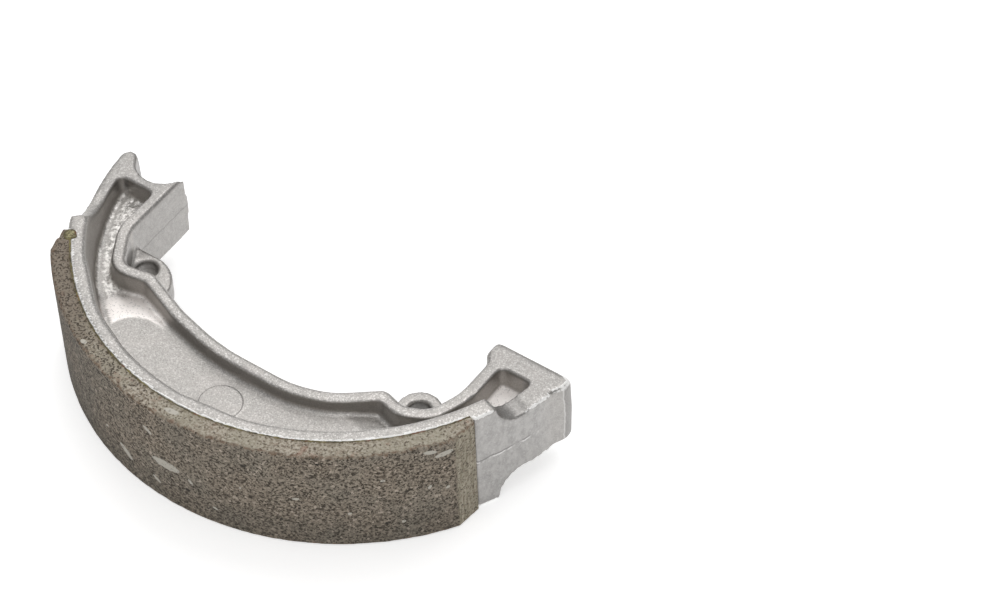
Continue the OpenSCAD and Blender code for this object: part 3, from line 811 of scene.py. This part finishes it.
def friction_material():
    """Pressed friction material: brown-grey with dark pores, pale grains and a few flat flecks."""
    look = Look("friction_lining")
    unrolled = look.stored("unrolled", "Vector")
    along, up, _ = look.split(unrolled)
    fine = look.noise(look.place, 2.0, 3.0, 0.7)
    coarse = look.noise(look.place, 0.75, 2.0, 0.55)
    drift = look.noise(look.place, 0.09, 2.0, 0.5)
    small_cell = look.grains(look.place, 3.6)

    # The outer face, the bevels where the grinding has taken, and the side faces
    worn = worn_face(look, fine, coarse, drift, small_cell, along, up)
    ground = ground_bevel(look, fine, small_cell, unrolled)
    taken = look.noise(look.scaled(unrolled, (1.6, 0.7, 0)), 1.0, 3.0, 0.65)
    taken = look.ramp(taken, 0.52, 0.66, 1.0, 0.25)
    tone = look.mixed(look.times(look.stored("bevel"), taken), worn, ground)
    cloudy = look.noise(look.place, 0.8, 3.0, 0.6)
    side = look.ramp(look.math("MULTIPLY_ADD", cloudy, 1.3, look.stored("side")), 0.9, 1.5)
    tone = look.mixed(side, tone, cut_face(look, fine, drift, small_cell, along))
    along_edge = look.times(side, look.math("SUBTRACT", 1.0, side))
    patches = look.ramp(look.noise(look.place, 1.6, 3.0, 0.65), 0.42, 0.6, 0.4, 3.6)
    tone = look.mixed(look.times(along_edge, patches), tone, (0.21, 0.145, 0.1))

    # Flecks, pits and adhesive soaked in beside the bond
    ragged = look.noise(look.place, 1.4, 3.0, 0.6)
    fleck = look.ramp(look.math("MULTIPLY_ADD", ragged, 0.5, look.stored("fleck")), 0.27, 0.41)
    shown = look.times(fleck, look.ramp(small_cell, 0.04, 0.12, 0.55, 0.92))
    tone = look.mixed(shown, tone, (0.58, 0.55, 0.485))
    pit = look.ramp(look.stored("pit"), 0.05, 0.5, 0.0, 0.8)
    tone = look.mixed(pit, tone, (0.02, 0.019, 0.017))
    soaked = look.ramp(look.noise(look.place, 1.2, 2.0), 0.42, 0.6, 0.1, 0.6)
    bond = look.times(look.stored("bond"), soaked)
    tone = look.mixed(look.times(bond, side), tone, (0.1, 0.075, 0.03))
    look.shade("Base Color", tone)

    look.shade("Roughness", look.ramp(fine, 0.3, 0.7, 0.95, 0.75))
    look.shade("Specular IOR Level", 0.3)
    height = look.math("ADD", fine, look.ramp(small_cell, 0.2, 0.05, 0.0, -0.8))
    height = look.math("SUBTRACT", height, 0.2)
    smooth_fleck = look.math("SUBTRACT", 1.0, look.times(fleck, 0.8))
    normal = look.bumped(height, 0.08 * MM, smooth_fleck)
    look.shade("Normal", look.bumped(coarse, 0.1 * MM, 0.5, normal))
    return look.material


def old_adhesive():
    """Hardened adhesive: nearly black, olive or rust-red in patches, paler where it is thick."""
    look = Look("lining_adhesive")
    fine = look.noise(look.place, 2.8, 3.0, 0.65)
    olive = look.ramp(look.noise(look.place, 0.45, 3.0, 0.6), 0.5, 0.62, 0.0, 0.7)
    tone = look.mixed(look.ramp(fine, 0.3, 0.7), (0.03, 0.025, 0.014), (0.17, 0.14, 0.06))
    tone = look.mixed(olive, tone, (0.26, 0.22, 0.08))
    z = look.split(look.place)[2]
    thick = look.ramp(z, WIDTH / MM + 0.06, WIDTH / MM + 0.2)
    lumpy = look.ramp(look.noise(look.place, 1.7, 3.0, 0.65), 0.4, 0.6)
    drop_tone = look.mixed(lumpy, (0.12, 0.1, 0.045), (0.42, 0.38, 0.2))
    tone = look.mixed(thick, tone, drop_tone)
    red = look.ramp(look.noise(look.place, 0.3, 2.0), 0.6, 0.66, 0.0, 0.8)
    look.shade("Base Color", look.mixed(red, tone, (0.19, 0.07, 0.03)))
    look.shade("Roughness", look.ramp(fine, 0.3, 0.7, 0.45, 0.8))
    look.shade("Normal", look.bumped(fine, 0.1 * MM))
    return look.material


casting.data.materials.append(cast_aluminium())
lining_block.data.materials.append(friction_material())
adhesive_line.data.materials.append(old_adhesive())

# The studio: a pale floor, a soft even world and soft lamps

FLOOR_HALF = 3.0
# Light that the floor sends to the camera and to what mirrors it, so that it shows as white
FLOOR_GLOW = 0.47
WORLD_LIGHT = 0.45
SOFTBOX_SIZE = 0.5
SOFTBOX_AIM = Vector((0, -30 * MM, 0))
# Name, azimuth and elevation in degrees, and watts
SOFTBOXES = (("back_left", 132, 60, 0.7), ("back", 96, 64, 1.65), ("front", -53, 30, 1.15),
             ("low_left", 140, 30, 1.2), ("top", -60, 82, 1.3))


def floor():
    """A large pale square that the shoe lies on."""
    mesh = bpy.data.meshes.new("floor")
    a = FLOOR_HALF
    mesh.from_pydata([(-a, -a, 0), (a, -a, 0), (a, a, 0), (-a, a, 0)], [], [(0, 1, 2, 3)])
    obj = new_object("floor", mesh)
    look = Look("floor")
    look.shade("Base Color", (0.9, 0.9, 0.9, 1))
    look.shade("Roughness", 1)
    look.shade("Specular IOR Level", 0)
    look.shade("Emission Color", (1, 1, 1, 1))
    rays = look.nodes.new("ShaderNodeLightPath").outputs
    mirrored = look.math("MAXIMUM", rays["Is Glossy Ray"], rays["Is Transmission Ray"])
    seen = look.math("MAXIMUM", rays["Is Camera Ray"], mirrored)
    look.shade("Emission Strength", look.times(seen, FLOOR_GLOW))
    obj.data.materials.append(look.material)


def softbox(name, azimuth, elevation, watts):
    """A square lamp, one metre away from the shoe, that faces it."""
    lamp = bpy.data.lights.new(name, "AREA")
    lamp.shape = "SQUARE"
    lamp.size = SOFTBOX_SIZE
    lamp.energy = watts
    turn, rise = np.radians(azimuth), np.radians(elevation)
    away = Vector((np.cos(turn) * np.cos(rise), np.sin(turn) * np.cos(rise), np.sin(rise)))
    obj = new_object(name, lamp)
    obj.location = SOFTBOX_AIM + away
    obj.rotation_euler = away.to_track_quat("Z", "Y").to_euler()


floor()
for name, azimuth, elevation, watts in SOFTBOXES:
    softbox(name, azimuth, elevation, watts)

world = bpy.data.worlds.new("studio")
bpy.context.scene.world = world
world.use_nodes = True
background = world.node_tree.nodes["Background"]
background.inputs["Color"].default_value = (1, 1, 1, 1)
background.inputs["Strength"].default_value = WORLD_LIGHT

# The camera, found by fitting the shoe's concentric arcs and equal widths in the photograph
CAMERA_PLACE = Vector((301.761, -354.926, 522.865)) * MM
CAMERA_RIGHT = Vector((0.81589, 0.5776, -0.02664))
CAMERA_UP = Vector((-0.41589, 0.61823, 0.66695))
FOCAL_SHARE = 3.69715

camera = bpy.data.cameras.new("camera")
camera.sensor_width = 36
camera.lens = FOCAL_SHARE * camera.sensor_width
camera.clip_start = 0.01
camera_obj = new_object("camera", camera)
back = CAMERA_RIGHT.cross(CAMERA_UP).normalized()
up = back.cross(CAMERA_RIGHT).normalized()
turn = Matrix((CAMERA_RIGHT.normalized(), up, back)).transposed()
camera_obj.matrix_world = Matrix.Translation(CAMERA_PLACE) @ turn.to_4x4()
bpy.context.scene.camera = camera_obj
bpy.context.scene.view_settings.view_transform = "Standard"
